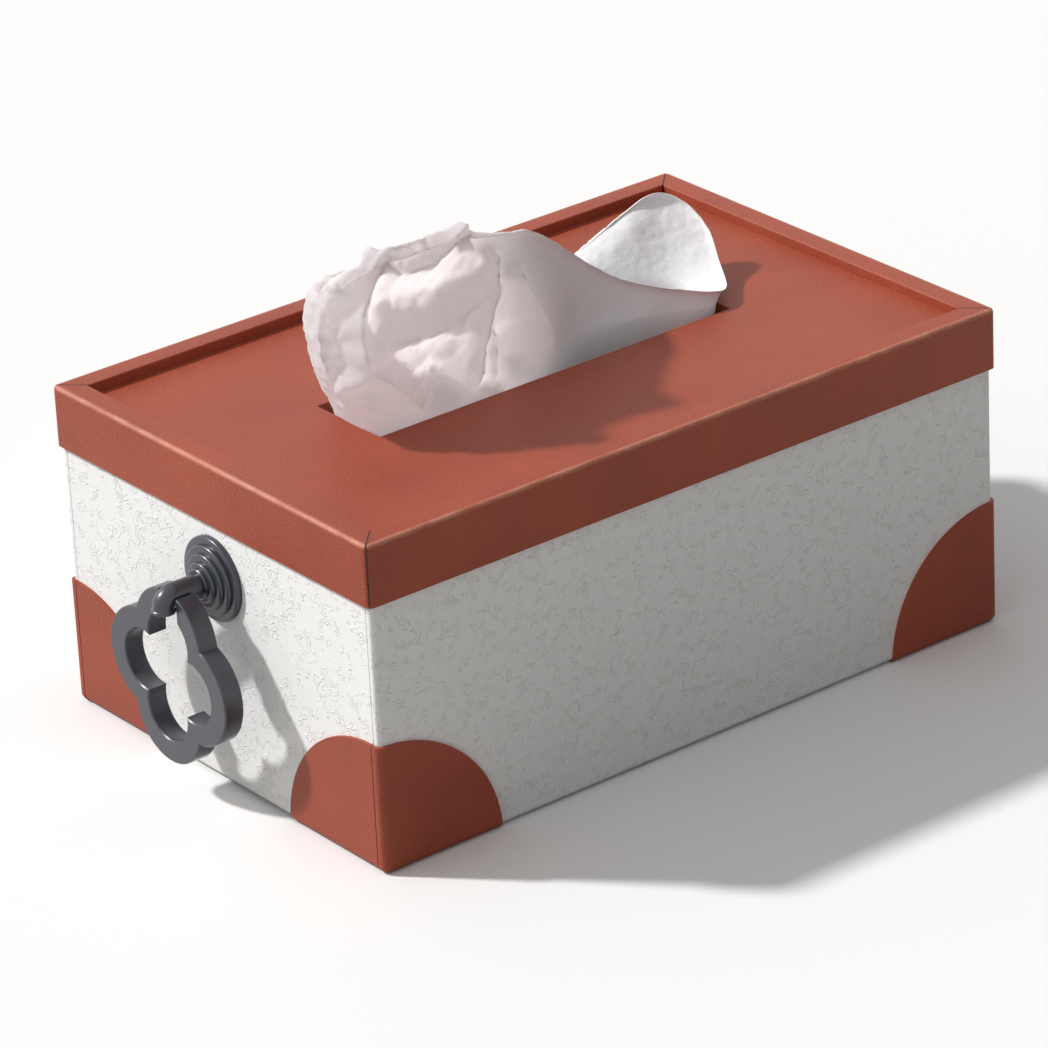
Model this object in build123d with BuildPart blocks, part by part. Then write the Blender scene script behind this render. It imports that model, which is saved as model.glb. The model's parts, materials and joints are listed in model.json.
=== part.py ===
from build123d import *
import math
import os

# Tissue box with a drawer: a sleeve of thin boards under an embossed white covering, a leather band round a
# recessed top, leather corner patches, and a drawer behind the short end that is opened by a drop ring pull.
# Millimetres. The origin is the centre of the base on the table, +X runs along the box away from the pull, so
# that the drawer opens towards -X, +Y is the rear long side and +Z is up.

os.makedirs("parts", exist_ok=True)

# ---- Box ----
length = 250.0            # over the leather band, pull end to closed end
width = 162.0             # over the leather band
height = 110.0            # table to the top of the rim
wall_board = 5.0          # wall, base and header boards
covering = 0.8            # embossed covering glued over the boards
cover_corner = 1.5        # rounding of the covering's upright corners
cover_foot = 1.8          # rounding of its bottom edges
lining = 0.5              # lining paper inside the casing and the tray
felt = 0.6                # base felt
felt_margin = 15.0        # from the covering's edge to the felt

# ---- Leather ----
band_height = 20.4        # band round the top
band_leather = 1.35       # thickness of the band over the covering
band_corner = 2.2         # rounding of the band's upright corners
band_edge = 1.3           # rounding of the rim's outer top edge
rim_edge = 0.6            # rounding of the rim's inner top edge
rim_lining = 1.2          # leather turned down inside the rim
patch_leather = 1.1       # thickness of the corner patches over the covering
patch_under = 0.6         # the same leather pared thin where it turns under the box
patch_radius = 44.0       # arc of a patch about its corner
patch_spread = 3.0        # that arc's centre in from the side, so that a patch is wider on the box's end
patch_sink = 1.5          # and below the covering's bottom
patch_turn = 12.0         # how far a patch reaches under the box
patch_corner = 2.4        # rounding of a patch's upright corner
patch_foot = 2.8          # rounding of its bottom edges

# ---- Recessed top ----
recess = 3.5              # rim down to the panel's leather
panel_leather = 1.2
panel_thickness = 4.0     # panel board
slot_length = 140.6       # tissue slot, leather to leather
slot_width = 32.0
batten = 6.0              # square strips under the panel
batten_inset = 8.0        # from a wall to the end of a strip

# ---- Drawer ----
lip = 2.4                 # edge of the wall beside the drawer front, covering included
drawer_gap = 0.35         # seam round the drawer front
drawer_lift = 0.4         # drawer front above the table
shut_gap = 0.3            # drawer front to the rebate that it shuts against
front_board = 5.0         # drawer front board
front_edge = 0.5          # rounding of the drawer front's covered top edge
tray_board = 3.0          # tray sides, back and base
tray_side_gap = 0.75      # tray to the casing lining
tray_slide_gap = 0.3      # tray to the lining that it slides on
tray_lining_drop = 1.5    # top of the tray down to the edge of its lining
tray_end_gap = 2.0        # tray back to the closed end
tray_below_band = 7.6     # top of the tray below the band

# ---- Pull ----
pull_below_band = 18.4    # rosette's centre below the band
rosette_steps = ((13.9, 2.0), (11.4, 1.4), (9.0, 1.2), (6.6, 1.3))  # radius and rise of each step
rosette_edge = 0.35       # bevel of each step
stem_radius = 3.6
collar_radius = 4.9
collar_rise = 1.0
collar_edge = 0.35        # bevel of the collar
spigot_radius = 2.8       # the post's end inside the rosette
ring_reach = 14.6         # drawer front to the ring's middle plane
post_reach = 19.6         # drawer front to the axis of the turned-down tip
elbow_radius = 3.8        # bend of the stem's centre line
tip_drop = 5.0            # stem axis down to the tip's flat end
bead_radius = 3.9         # bead round the end of the tip
bead_height = 1.5
bead_edge = 0.4           # bevel of the bead
pin_drop = 1.8            # stem axis down to the pin
pin_radius = 0.9
pin_half = 6.2            # half the pin's length
pin_fit = 0.06            # running clearance of the ring on the pin
post_pin_fit = 0.02       # the pin is pressed into the post
bead_gap = 0.65           # ring's cheeks to the bead, which passes between them
screw_radius = 1.5
screw_depth = 8.0         # how far the screw enters the post
screw_hole_gap = 0.2      # clearance of the screw through the boards
screw_head_radius = 3.6
screw_head = 2.2
washer_radius = 5.0
washer = 0.8

# ---- Quatrefoil ring ----
ring_thickness = 7.0
ring_drop = 26.9          # pin to the ring's centre
ring_lean = 6.7           # degrees that the ring hangs askew on its loose pin
lobe_offset = 13.2        # outer lobes: centre and radius
lobe_radius = 16.8
window_offset = 12.2      # lobes of the cut-out: centre and radius
window_radius = 10.1
ring_edge = 0.4           # bevel of the ring's edges

# ---- Tissues ----
stack_front_room = 17.35  # tray's inside to the stack, by the pull
stack_back_room = 11.85   # and by the closed end
stack_side_room = 16.6    # and at its two sides
stack_height = 50.0
stack_edge = 4.0          # rounding of the stack's upright corners
sheet = 1.6               # crumpled sheet, thickness of its folds
sheet_tail = 1.0          # sheet's lower end above the tray, which slides under it
sheet_gap = 0.3           # sheet to the slot's long edges
sheet_end_gap = 2.0       # sheet to the slot's ends
lean_near = 7.0           # how far the sheet leans out over the slot's near edge
lean_far = 9.0            # and over its far edge
lean_pull_end = 24.0      # and over its end by the pull
lean_closed_end = 22.0    # and over its other end
near_rise = 60.0          # high lobe above the rim, by the pull end
near_fall = 6.0           # both edges' low ends above the rim
far_rise = 28.0           # lower lobe on the far side, by the closed end

# ---- Worked out from them ----
cover_x = length / 2 - band_leather
cover_y = width / 2 - band_leather
board_x = cover_x - covering
board_y = cover_y - covering
inner_x = board_x - wall_board
inner_y = board_y - wall_board
board_corner = cover_corner - covering
board_foot = cover_foot - covering
cover_bottom = patch_under
board_bottom = cover_bottom + covering
base_top = board_bottom + wall_board
band_bottom = height - band_height
board_top = height - band_leather
panel_top = height - recess
panel_board_top = panel_top - panel_leather
panel_board_bottom = panel_board_top - panel_thickness
batten_bottom = panel_board_bottom - batten
slot_board_length = slot_length + 2 * panel_leather
slot_board_width = slot_width + 2 * panel_leather

lip_y = cover_y - lip                       # inner face of the lips
front_y = lip_y - drawer_gap                # drawer front's covered sides
front_bottom = drawer_lift + patch_under
front_top = band_bottom - drawer_gap
front_back_x = -board_x + front_board       # back face of the drawer front
rebate_x = front_back_x + shut_gap
patch_x = cover_x + patch_leather
patch_y = cover_y + patch_leather

tray_top = band_bottom - tray_below_band
tray_y = inner_y - lining - tray_side_gap
tray_back_x = inner_x - lining - tray_end_gap
tray_bottom = base_top + lining + tray_slide_gap
tray_floor = tray_bottom + tray_board
tray_inner_y = tray_y - tray_board
tray_inner_x = tray_back_x - tray_board

pull_height = band_bottom - pull_below_band
ring_x = -cover_x - ring_reach
tip_x = -cover_x - post_reach
pin_z = pull_height - pin_drop
cheek_y = bead_radius + bead_gap
stack_bottom = tray_floor + lining
stack_front_x = front_back_x + lining + stack_front_room
stack_back_x = tray_inner_x - lining - stack_back_room
stack_y = tray_inner_y - lining - stack_side_room
lining_top = tray_top - tray_lining_drop


def span_box(low, high, mode=Mode.ADD):
    """A block between two corners."""
    with BuildSketch(Plane.XY.offset(low[2])) as outline:
        with Locations(((low[0] + high[0]) / 2, (low[1] + high[1]) / 2)):
            Rectangle(high[0] - low[0], high[1] - low[1])
    extrude(outline.sketch, amount=high[2] - low[2], mode=mode)


def slab(half_x, half_y, low_z, high_z, mode=Mode.ADD, corner=0.0):
    """A block centred on the box's middle, with rounded upright corners if asked."""
    with BuildSketch(Plane.XY.offset(low_z)) as outline:
        if corner > 0:
            RectangleRounded(2 * half_x, 2 * half_y, corner)
        else:
            Rectangle(2 * half_x, 2 * half_y)
    extrude(outline.sketch, amount=high_z - low_z, mode=mode)


def save(part, name):
    """Labels a finished piece and writes it under the same name."""
    part.label = name
    export_step(part, f"parts/{name}.step")


# ---- Casing boards ----
for name, side in (("side_board_front", -1), ("side_board_rear", 1)):
    with BuildPart() as side_board:
        with BuildSketch(Plane.XY.offset(board_bottom)):
            with Locations((0, side * (inner_y + wall_board / 2))):
                Rectangle(2 * board_x, wall_board)
        extrude(amount=board_top - board_bottom)
        outer_face = side_board.faces().sort_by(Axis.Y)[0 if side < 0 else -1]
        fillet(outer_face.edges().filter_by(Axis.Z), radius=board_corner)
        outer_face = side_board.faces().sort_by(Axis.Y)[0 if side < 0 else -1]
        fillet(outer_face.edges().sort_by(Axis.Z)[0], radius=board_foot)
        # rebate that leaves a thin lip beside the drawer front
        with BuildSketch(Plane.XY.offset(board_bottom)):
            with Locations(((rebate_x - board_x) / 2, side * (inner_y + lip_y) / 2)):
                Rectangle(rebate_x + board_x, lip_y - inner_y)
        extrude(amount=band_bottom - board_bottom, mode=Mode.SUBTRACT)
    save(side_board.part, name)

with BuildPart() as back_board:
    span_box((inner_x, -inner_y, board_bottom), (board_x, inner_y, board_top))
    outer_face = back_board.faces().sort_by(Axis.X)[-1]
    fillet(outer_face.edges().sort_by(Axis.Z)[0], radius=board_foot)
save(back_board.part, "back_board")

with BuildPart() as header_rail:
    span_box((-board_x, -inner_y, band_bottom), (-inner_x, inner_y, board_top))
save(header_rail.part, "header_rail")

with BuildPart() as base_board:
    span_box((rebate_x, -inner_y, board_bottom), (inner_x, inner_y, base_top))
save(base_board.part, "base_board")

# ---- Recessed top and what carries it ----
with BuildPart() as top_panel_board:
    slab(inner_x, inner_y, panel_board_bottom, panel_board_top)
    slab(slot_board_length / 2, slot_board_width / 2, panel_board_bottom, panel_board_top, Mode.SUBTRACT)
save(top_panel_board.part, "top_panel_board")

for name, side in (("panel_batten_front", -1), ("panel_batten_rear", 1)):
    with BuildPart() as panel_batten:
        with BuildSketch(Plane.XY.offset(batten_bottom)):
            with Locations((0, side * (inner_y - batten / 2))):
                Rectangle(2 * (inner_x - batten_inset), batten)
        extrude(amount=batten)
    save(panel_batten.part, name)

with BuildPart() as panel_batten_back:
    reach = inner_y - batten - batten_inset
    span_box((inner_x - batten, -reach, batten_bottom), (inner_x, reach, panel_board_bottom))
save(panel_batten_back.part, "panel_batten_back")

# ---- Coverings of the casing ----
# The covered box as one block: the covering is its skin and the corner patches are moulded over it.
with BuildPart() as covered_block:
    slab(cover_x, cover_y, cover_bottom, board_top, corner=cover_corner)
    fillet(covered_block.faces().sort_by(Axis.Z)[0].edges(), radius=cover_foot)

with BuildPart() as body_covering:
    add(covered_block.part)
    slab(board_x, board_y, board_bottom, board_top, Mode.SUBTRACT, corner=board_corner)
    # the drawer front stands in the open end, from lip to lip and under the band
    span_box((-cover_x, -lip_y, cover_bottom), (rebate_x, lip_y, band_bottom), Mode.SUBTRACT)
save(body_covering.part, "body_covering")

with BuildPart() as casing_lining:
    span_box((rebate_x, -inner_y, base_top), (inner_x, inner_y, batten_bottom))
    span_box((rebate_x, lining - inner_y, base_top + lining),
             (inner_x - lining, inner_y - lining, batten_bottom), Mode.SUBTRACT)
save(casing_lining.part, "casing_lining")

with BuildPart() as top_panel_leather:
    slab(inner_x, inner_y, panel_board_top, panel_top)
    # turned down round the slot's edge
    slab(slot_board_length / 2, slot_board_width / 2, panel_board_bottom, panel_board_top)
    slab(slot_length / 2, slot_width / 2, panel_board_bottom, panel_top, Mode.SUBTRACT)
save(top_panel_leather.part, "top_panel_leather")

with BuildPart() as top_band_leather:
    slab(length / 2, width / 2, band_bottom, height, corner=band_corner)
    fillet(top_band_leather.faces().sort_by(Axis.Z)[-1].edges(), radius=band_edge)
    slab(cover_x, cover_y, band_bottom, board_top, Mode.SUBTRACT, corner=cover_corner)
    # the leather lies over the rim and is turned down inside it
    slab(inner_x, inner_y, panel_top, height)
    slab(inner_x - rim_lining, inner_y - rim_lining, panel_top, height, Mode.SUBTRACT)
    rim_inside = top_band_leather.faces().sort_by(Axis.Z)[-1].inner_wires()
    fillet(rim_inside.edges(), radius=rim_edge)
save(top_band_leather.part, "top_band_leather")

with BuildPart() as base_felt:
    slab(cover_x - felt_margin, cover_y - felt_margin, 0, felt)
save(base_felt.part, "base_felt")

# ---- Corner patches ----
# A patch is a shell over a bottom corner of the box, and a ball near that corner cuts an arc on every face.
def patch_shell(end, side, outer_y, bottom, covered):
    """Leather over one bottom corner of a covered block, inside the part that is being built."""
    block = patch_radius + patch_spread + 2 * patch_leather
    with BuildSketch(Plane.XY.offset(bottom)) as outline:
        with Locations((end * (patch_x - block / 2), side * (outer_y - block / 2))):
            Rectangle(block, block)
    shell = extrude(outline.sketch, amount=block)
    corner = (end * length, side * width, bottom)
    if outer_y > cover_y:
        upright = shell.edges().filter_by(Axis.Z).sort_by_distance(corner)[0]
        shell = fillet(upright, radius=patch_corner)
        foot = shell.faces().sort_by(Axis.Z)[0].edges().sort_by_distance(corner)[:3]
    else:
        foot = shell.faces().sort_by(Axis.Z)[0].edges().filter_by(Axis.Y).sort_by_distance(corner)[:1]
    fillet(foot, radius=patch_foot)
    with Locations((end * cover_x, side * (cover_y - patch_spread), cover_bottom - patch_sink)):
        Sphere(patch_radius, mode=Mode.INTERSECT)
    add(covered, mode=Mode.SUBTRACT)


for end_name, end in (("pull_end", -1), ("closed_end", 1)):
    for side_name, side in (("front", -1), ("rear", 1)):
        with BuildPart() as corner_patch:
            patch_shell(end, side, patch_y, 0, covered_block.part)
            # it is turned a short way under the box
            slab(cover_x - patch_turn, cover_y - patch_turn, 0, cover_bottom, Mode.SUBTRACT)
            # and leaves the drawer front free
            span_box((-patch_x, -lip_y, 0), (rebate_x, lip_y, band_bottom), Mode.SUBTRACT)
        save(corner_patch.part, f"corner_patch_{end_name}_{side_name}")

# ---- Drawer front ----
with BuildPart() as front_block:
    span_box((-cover_x, -front_y, front_bottom), (front_back_x, front_y, front_top))
    front_face = front_block.faces().sort_by(Axis.X)[0]
    fillet(front_face.edges().sort_by(Axis.Z)[0], radius=cover_foot)
    front_face = front_block.faces().sort_by(Axis.X)[0]
    fillet(front_face.edges().sort_by(Axis.Z)[-1], radius=front_edge)

with BuildPart() as drawer_front_board:
    span_box((-board_x, covering - front_y, front_bottom + covering),
             (front_back_x, front_y - covering, front_top - covering))
    front_face = drawer_front_board.faces().sort_by(Axis.X)[0]
    fillet(front_face.edges().sort_by(Axis.Z)[0], radius=board_foot)
    # screw hole of the pull
    with BuildSketch(Plane.YZ.offset(-board_x)):
        with Locations((0, pull_height)):
            Circle(screw_radius + screw_hole_gap)
    extrude(amount=front_board, mode=Mode.SUBTRACT)
save(drawer_front_board.part, "drawer_front_board")

with BuildPart() as drawer_front_covering:
    add(front_block.part)
    span_box((-board_x, covering - front_y, front_bottom + covering),
             (front_back_x, front_y - covering, front_top - covering), Mode.SUBTRACT)
    with BuildSketch(Plane.YZ.offset(-cover_x)):
        with Locations((0, pull_height)):
            Circle(screw_radius + screw_hole_gap)
    extrude(amount=covering, mode=Mode.SUBTRACT)
save(drawer_front_covering.part, "drawer_front_covering")

for side_name, side in (("front", -1), ("rear", 1)):
    with BuildPart() as drawer_patch:
        patch_shell(-1, side, front_y, drawer_lift, front_block.part)
        # cut off at the back of the drawer front
        span_box((front_back_x, -width, drawer_lift), (0, width, band_bottom), Mode.SUBTRACT)
    save(drawer_patch.part, f"drawer_patch_{side_name}")

# ---- Drawer tray ----
for name, side in (("tray_side_front", -1), ("tray_side_rear", 1)):
    with BuildPart() as tray_side:
        with BuildSketch(Plane.XY.offset(tray_bottom)):
            with Locations(((front_back_x + tray_back_x) / 2, side * (tray_y - tray_board / 2))):
                Rectangle(tray_back_x - front_back_x, tray_board)
        extrude(amount=tray_top - tray_bottom)
        fillet(tray_side.faces().sort_by(Axis.Z)[-1].edges().filter_by(Axis.X), radius=tray_board / 4)
    save(tray_side.part, name)

with BuildPart() as tray_back:
    span_box((tray_inner_x, -tray_inner_y, tray_bottom), (tray_back_x, tray_inner_y, tray_top))
    fillet(tray_back.faces().sort_by(Axis.Z)[-1].edges().filter_by(Axis.Y), radius=tray_board / 4)
save(tray_back.part, "tray_back")

with BuildPart() as tray_base:
    span_box((front_back_x, -tray_inner_y, tray_bottom), (tray_inner_x, tray_inner_y, tray_floor))
save(tray_base.part, "tray_base")

with BuildPart() as tray_lining:
    span_box((front_back_x, -tray_inner_y, tray_floor), (tray_inner_x, tray_inner_y, lining_top))
    span_box((front_back_x + lining, lining - tray_inner_y, stack_bottom),
             (tray_inner_x - lining, tray_inner_y - lining, lining_top), Mode.SUBTRACT)
    with BuildSketch(Plane.YZ.offset(front_back_x)):
        with Locations((0, pull_height)):
            Circle(screw_radius + screw_hole_gap)
    extrude(amount=lining, mode=Mode.SUBTRACT)
save(tray_lining.part, "tray_lining")

# ---- Pull: rosette, post, pin and screw ----
# The plane looks out of the drawer front: its x runs across the box and its y is up.
pull_plane = Plane(origin=(-cover_x, 0, pull_height), x_dir=(0, -1, 0), z_dir=(-1, 0, 0))
rosette_rise = sum(rise for radius, rise in rosette_steps)

with BuildPart() as pull_rosette:
    out = 0
    for radius, rise in rosette_steps:
        with BuildSketch(pull_plane.offset(out)):
            Circle(radius)
        extrude(amount=rise)
        out += rise
        step_edge = pull_rosette.faces().sort_by(Axis.X)[0].outer_wire().edges()
        chamfer(step_edge, length=rosette_edge)
    with BuildSketch(pull_plane):
        Circle(spigot_radius)
    extrude(amount=rosette_rise, mode=Mode.SUBTRACT)
save(pull_rosette.part, "pull_rosette")

with BuildPart() as pull_post:
    with BuildSketch(pull_plane):
        Circle(spigot_radius)
    extrude(amount=rosette_rise)
    with BuildSketch(pull_plane.offset(rosette_rise)):
        Circle(collar_radius)
    extrude(amount=collar_rise)
    chamfer(pull_post.faces().sort_by(Axis.X)[0].edges(), length=collar_edge)
    with BuildSketch(pull_plane.offset(rosette_rise)):
        Circle(stem_radius)
    extrude(amount=post_reach - elbow_radius - rosette_rise)
    # the stem turns down through a quarter bend and ends in a beaded tip
    with BuildSketch(pull_plane.offset(post_reach - elbow_radius)):
        Circle(stem_radius)
    elbow_axis = Axis((tip_x + elbow_radius, 0, pull_height - elbow_radius), (0, 1, 0))
    revolve(axis=elbow_axis, revolution_arc=-90)
    tip_bottom = pull_height - tip_drop
    with BuildSketch(Plane.XY.offset(tip_bottom)):
        with Locations((tip_x, 0)):
            Circle(stem_radius)
    extrude(amount=tip_drop - elbow_radius)
    with BuildSketch(Plane.XZ):
        with BuildLine():
            Polyline((tip_x, tip_bottom), (tip_x + bead_radius - bead_edge, tip_bottom),
                     (tip_x + bead_radius, tip_bottom + bead_edge),
                     (tip_x + bead_radius, tip_bottom + bead_height - bead_edge),
                     (tip_x + bead_radius - bead_edge, tip_bottom + bead_height),
                     (tip_x, tip_bottom + bead_height), close=True)
        make_face()
    revolve(axis=Axis((tip_x, 0, 0), (0, 0, 1)))
    # bores for the pin and the screw
    with BuildSketch(Plane.XZ.offset(-stem_radius * 1.5)):
        with Locations((ring_x, pin_z)):
            Circle(pin_radius + post_pin_fit)
    extrude(amount=stem_radius * 3, mode=Mode.SUBTRACT)
    with BuildSketch(pull_plane):
        Circle(screw_radius)
    extrude(amount=screw_depth, mode=Mode.SUBTRACT)
save(pull_post.part, "pull_post")

with BuildPart() as pull_pin:
    with BuildSketch(Plane.XZ.offset(-pin_half)):
        with Locations((ring_x, pin_z)):
            Circle(pin_radius)
    extrude(amount=2 * pin_half)
save(pull_pin.part, "pull_pin")

head_plane = Plane(origin=(front_back_x + lining + washer, 0, pull_height), z_dir=(1, 0, 0))

with BuildPart() as pull_washer:
    with BuildSketch(head_plane.offset(-washer)):
        Circle(washer_radius)
        Circle(screw_radius + screw_hole_gap, mode=Mode.SUBTRACT)
    extrude(amount=washer)
save(pull_washer.part, "pull_washer")

with BuildPart() as pull_screw:
    with BuildSketch(head_plane):
        Circle(screw_head_radius)
    extrude(amount=screw_head)
    chamfer(pull_screw.faces().sort_by(Axis.X)[-1].edges(), length=screw_head / 3)
    with BuildSketch(Plane.YZ.offset(-cover_x - screw_depth)):
        with Locations((0, pull_height)):
            Circle(screw_radius)
    extrude(amount=cover_x + screw_depth + head_plane.origin.X)
    # cross recess
    with BuildSketch(head_plane.offset(screw_head / 2)):
        Rectangle(screw_head_radius * 1.2, screw_head_radius / 5)
        Rectangle(screw_head_radius / 5, screw_head_radius * 1.2)
    extrude(amount=screw_head, mode=Mode.SUBTRACT)
save(pull_screw.part, "pull_screw")

# ---- Quatrefoil ring ----
lean = math.radians(ring_lean)
ring_plane = Plane(origin=(ring_x - ring_thickness / 2, 0, pin_z), x_dir=(0, math.cos(lean), math.sin(lean)),
                   z_dir=(1, 0, 0))

with BuildPart() as pull_ring:
    with BuildSketch(ring_plane):
        with Locations((0, -ring_drop)):
            with PolarLocations(lobe_offset, 4):
                Circle(lobe_radius)
            with PolarLocations(window_offset, 4):
                Circle(window_radius, mode=Mode.SUBTRACT)
            Rectangle(window_offset, window_offset, mode=Mode.SUBTRACT)
    extrude(amount=ring_thickness)
    face_edges = pull_ring.faces().filter_by(Axis.X).edges()
    chamfer(face_edges, length=ring_edge)
    # the top lobe is cut square to the pin, and its two ends hang on it
    top_lobe = ring_drop - window_offset
    span_box((ring_x - ring_thickness, -cheek_y, pin_z - top_lobe),
             (ring_x + ring_thickness, cheek_y, pin_z + lobe_radius), Mode.SUBTRACT)
    with BuildSketch(Plane.XZ.offset(-pin_half)):
        with Locations((ring_x, pin_z)):
            Circle(pin_radius + pin_fit)
    extrude(amount=2 * pin_half, mode=Mode.SUBTRACT)
save(pull_ring.part, "pull_ring")

# ---- Tissues ----
with BuildPart() as tissue_stack:
    with BuildSketch(Plane.XY.offset(stack_bottom)):
        with Locations(((stack_front_x + stack_back_x) / 2, 0)):
            RectangleRounded(stack_back_x - stack_front_x, 2 * stack_y, stack_edge)
    extrude(amount=stack_height)
save(tissue_stack.part, "tissue_stack")

# The pulled sheet stands up in the slot like a crumpled cup, open by the pull end on its far side: it runs
# along the slot's near edge, turns round at the closed end and comes back along the far edge. Its plan at
# each level is a line of folds, in shares of the half length and of the reach towards the near or far edge.
# Its top edges are in shares of the half length and of the lobe's rise.
slot_folds = ((-0.80, 0.45), (-1.0, -0.2), (-0.90, -1), (-0.55, -0.95), (-0.2, -1), (0.2, -0.95), (0.6, -1),
              (0.94, -0.8), (1.0, 0), (0.90, 1), (0.5, 0.95), (0.1, 1))
open_folds = ((-0.72, 0.5), (-1.0, 0), (-0.90, -0.9), (-0.50, -1.2), (-0.22, -0.5), (-0.05, -0.9),
              (0.4, -0.6), (0.78, -0.7), (1.0, 0), (0.85, 0.9), (0.55, 0.8), (0.2, 1))
near_edge = ((-1.0, 0.6), (-0.93, 0.9), (-0.5, 1.0), (-0.28, 0.9), (0.05, 0.65), (0.4, 0.3), (0.75, 0.05),
             (1.0, 0))
far_edge = ((-1.0, 0.9), (-0.6, 0.6), (0.1, 0.4), (0.35, 0.7), (0.62, 1.0), (0.78, 0.95), (0.93, 0.55),
            (1.0, 0.15))

fold_y = slot_width / 2 - sheet_gap - sheet / 2
sheet_end = slot_length / 2 - sheet_end_gap


def fold_line(folds, half_length, near_y, far_y):
    """The points of one level's folds: x as a share of the half length, y of the near or far reach."""
    return [(x * half_length, y * (near_y if y < 0 else far_y)) for x, y in folds]


def lean_out(points):
    """The same points after the sheet has leant out over the two ends of the slot."""
    return [(x * (1 + (lean_pull_end if x < 0 else lean_closed_end) / sheet_end), y) for x, y in points]


sheet_levels = (
    (tray_top + sheet_tail, fold_line(slot_folds, sheet_end, fold_y, fold_y)),
    (panel_board_bottom, fold_line(slot_folds, sheet_end, fold_y, fold_y)),
    (panel_top, fold_line(slot_folds, sheet_end, fold_y, fold_y)),
    (height + near_rise, lean_out(fold_line(open_folds, sheet_end, fold_y + lean_near, fold_y + lean_far))),
)
sheet_reach = sheet_end + max(lean_pull_end, lean_closed_end) + sheet
above_sheet = height + 2 * max(near_rise, far_rise)
with BuildPart() as tissue_sheet:
    for level, folds in sheet_levels:
        with BuildSketch(Plane.XY.offset(level)):
            with BuildLine():
                Polyline(*folds)
            trace(line_width=sheet)
    loft(ruled=True)
    # the near part's top edge falls from a high lobe, the far part's rises to a lower one
    for outline, rise, towards in ((near_edge, near_rise, 1), (far_edge, far_rise, -1)):
        edge = [(x * sheet_reach, height + near_fall + share * (rise - near_fall)) for x, share in outline]
        with BuildSketch(Plane.XZ):
            with BuildLine():
                Polyline(*edge, (sheet_reach, above_sheet), (-sheet_reach, above_sheet), close=True)
            make_face()
        extrude(amount=towards * width / 2, mode=Mode.SUBTRACT)
save(tissue_sheet.part, "tissue_sheet")
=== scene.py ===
import bmesh
import bpy
import json
import math
import random
from mathutils import Matrix, Vector, noise
from mathutils.geometry import intersect_point_line


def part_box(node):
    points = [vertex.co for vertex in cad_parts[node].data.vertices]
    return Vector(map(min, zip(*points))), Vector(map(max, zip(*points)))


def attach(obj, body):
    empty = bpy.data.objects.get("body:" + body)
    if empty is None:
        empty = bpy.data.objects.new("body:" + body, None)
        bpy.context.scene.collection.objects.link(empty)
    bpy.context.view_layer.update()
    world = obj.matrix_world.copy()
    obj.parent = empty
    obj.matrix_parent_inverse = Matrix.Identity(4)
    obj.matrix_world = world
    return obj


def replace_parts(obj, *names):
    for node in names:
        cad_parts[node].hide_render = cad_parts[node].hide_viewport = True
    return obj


# Tissue box with a drawer: terracotta leather band, recessed top and corner patches over an embossed white
# covering, a black quatrefoil ring pull on the short end and a crumpled tissue standing in the slot.
# Metres, in the CAD's frame: +X away from the pull, +Y towards the rear long side, +Z up.

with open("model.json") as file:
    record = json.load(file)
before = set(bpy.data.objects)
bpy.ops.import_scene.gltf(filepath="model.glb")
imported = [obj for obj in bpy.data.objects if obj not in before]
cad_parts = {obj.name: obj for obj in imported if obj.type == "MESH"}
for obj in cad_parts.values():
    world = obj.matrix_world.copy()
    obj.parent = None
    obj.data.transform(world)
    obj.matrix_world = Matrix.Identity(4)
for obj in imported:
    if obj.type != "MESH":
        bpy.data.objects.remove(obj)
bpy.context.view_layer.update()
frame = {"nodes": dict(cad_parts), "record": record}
scene = bpy.context.scene
MM = 0.001


# ---- Camera, light and floor ----
def look_at_photo():
    """The photograph's own viewpoint: a long lens, 25 degrees up, off the near corner by the pull."""
    lens = bpy.data.cameras.new("photo_lens")
    lens.sensor_width = 36.0
    lens.lens = 198.70
    lens.shift_x = -0.0049
    lens.shift_y = 0.0006
    lens.clip_start = 0.05
    lens.clip_end = 20.0
    camera = bpy.data.objects.new("photo_camera", lens)
    right = Vector((0.77957, -0.62475, -0.04429))
    up = Vector((0.29963, 0.30992, 0.90231))
    back = Vector((-0.54999, -0.71669, 0.42880))
    stand = Vector((-1.01274, -1.31667, 0.83660))
    turn = Matrix((right, up, back)).transposed().to_4x4()
    camera.matrix_world = Matrix.Translation(stand) @ turn
    scene.collection.objects.link(camera)
    scene.camera = camera


def add_sun(name, towards, strength, spread):
    """A distant lamp that stands towards a direction and looks as wide as its spread, in degrees."""
    data = bpy.data.lights.new(name, "SUN")
    data.energy = strength
    data.angle = math.radians(spread)
    lamp = bpy.data.objects.new(name, data)
    lamp.rotation_euler = Vector(towards).to_track_quat("Z", "Y").to_euler()
    scene.collection.objects.link(lamp)


def linear(hex_colour):
    """An sRGB hex colour as linear red, green, blue and alpha."""
    channels = [int(hex_colour[i:i + 2], 16) / 255 for i in (1, 3, 5)]
    return [c / 12.92 if c <= 0.04045 else ((c + 0.055) / 1.055) ** 2.4 for c in channels] + [1.0]


def add_node(tree, kind, settings=None, inputs=None):
    """Adds one node, sets its settings, and fills its sockets with values or with links from other sockets."""
    made = tree.nodes.new(kind)
    for name, value in (settings or {}).items():
        setattr(made, name, value)
    for name, value in (inputs or {}).items():
        socket = made.inputs[name]
        if isinstance(value, bpy.types.NodeSocket):
            tree.links.new(value, socket)
        else:
            socket.default_value = value
    return made


def new_material(name, **shader_values):
    """A material with one Principled shader and its plain values, given as socket names with _ for each space.

    Its node tree, its shader and the place on the piece, in Object coordinates, are returned with it.
    """
    material = bpy.data.materials.new(name)
    material.use_nodes = True
    tree = material.node_tree
    shader = tree.nodes["Principled BSDF"]
    for socket, value in shader_values.items():
        shader.inputs[socket.replace("_", " ")].default_value = value
    place = add_node(tree, "ShaderNodeTexCoord").outputs["Object"]
    return material, tree, shader, place


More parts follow.
